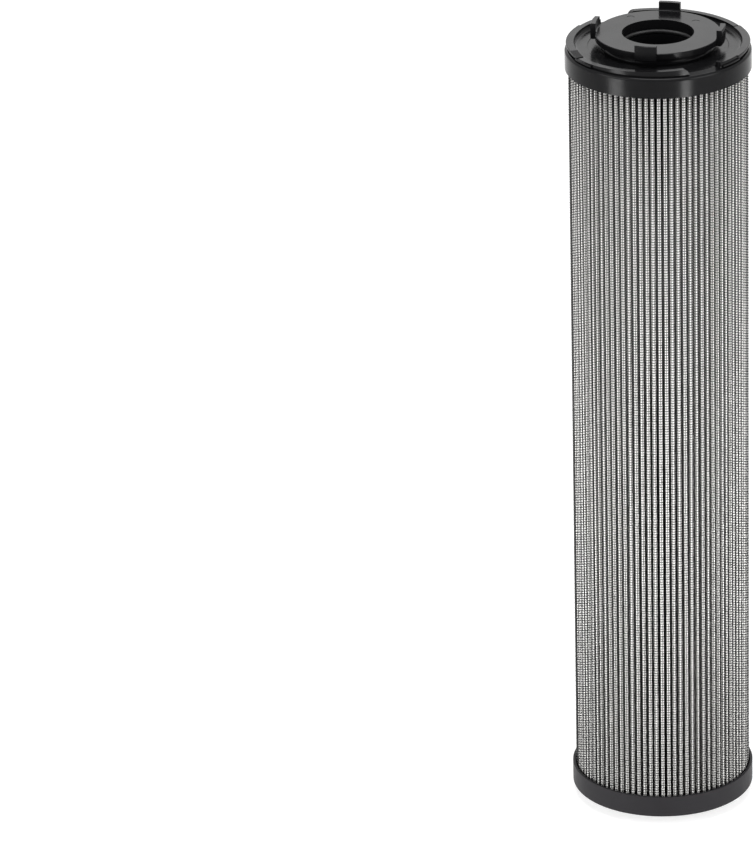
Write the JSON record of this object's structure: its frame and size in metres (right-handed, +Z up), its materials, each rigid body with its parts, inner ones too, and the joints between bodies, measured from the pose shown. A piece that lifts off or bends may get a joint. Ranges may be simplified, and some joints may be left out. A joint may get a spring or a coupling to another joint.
{
  "type": "pleated hydraulic filter element",
  "caption": "Return-line hydraulic filter element: a pleated wire-mesh pack on a perforated tube, with a bayonet lip, lugs and bore on the top end cap and a bored boss on the bottom one.",
  "frame": {"origin": "centre of the flat face of the bottom cap's boss, on the element's axis", "axes": "+Z up along the element's axis, from the bottom cap to the bayonet cap; -Y towards the side that the picture shows"},
  "size_m": [0.095, 0.095, 0.4305],
  "materials": {
    "black_plastic": "semi-gloss moulded",
    "grey_plastic": "matte moulded",
    "wire_steel": "bright woven wire",
    "fleece": "bonded fleece",
    "glass_fibre": "glass fibre mat",
    "tube_steel": "zinc plated, perforated",
    "adhesive": "cast resin",
    "seal_rubber": "moulded rubber"
  },
  "bodies": {
    "root": {"top_end_cap": "black_plastic", "bottom_end_cap": "grey_plastic", "outer_support_mesh": "wire_steel", "outer_fleece": "fleece", "glass_fibre_media": "glass_fibre", "inner_fleece": "fleece", "inner_support_mesh": "wire_steel", "core_tube": "tube_steel", "top_potting_ring": "adhesive", "bottom_potting_ring": "adhesive", "top_seal_ring": "seal_rubber", "bottom_seal_ring": "seal_rubber"}
  },
  "joints": []
}
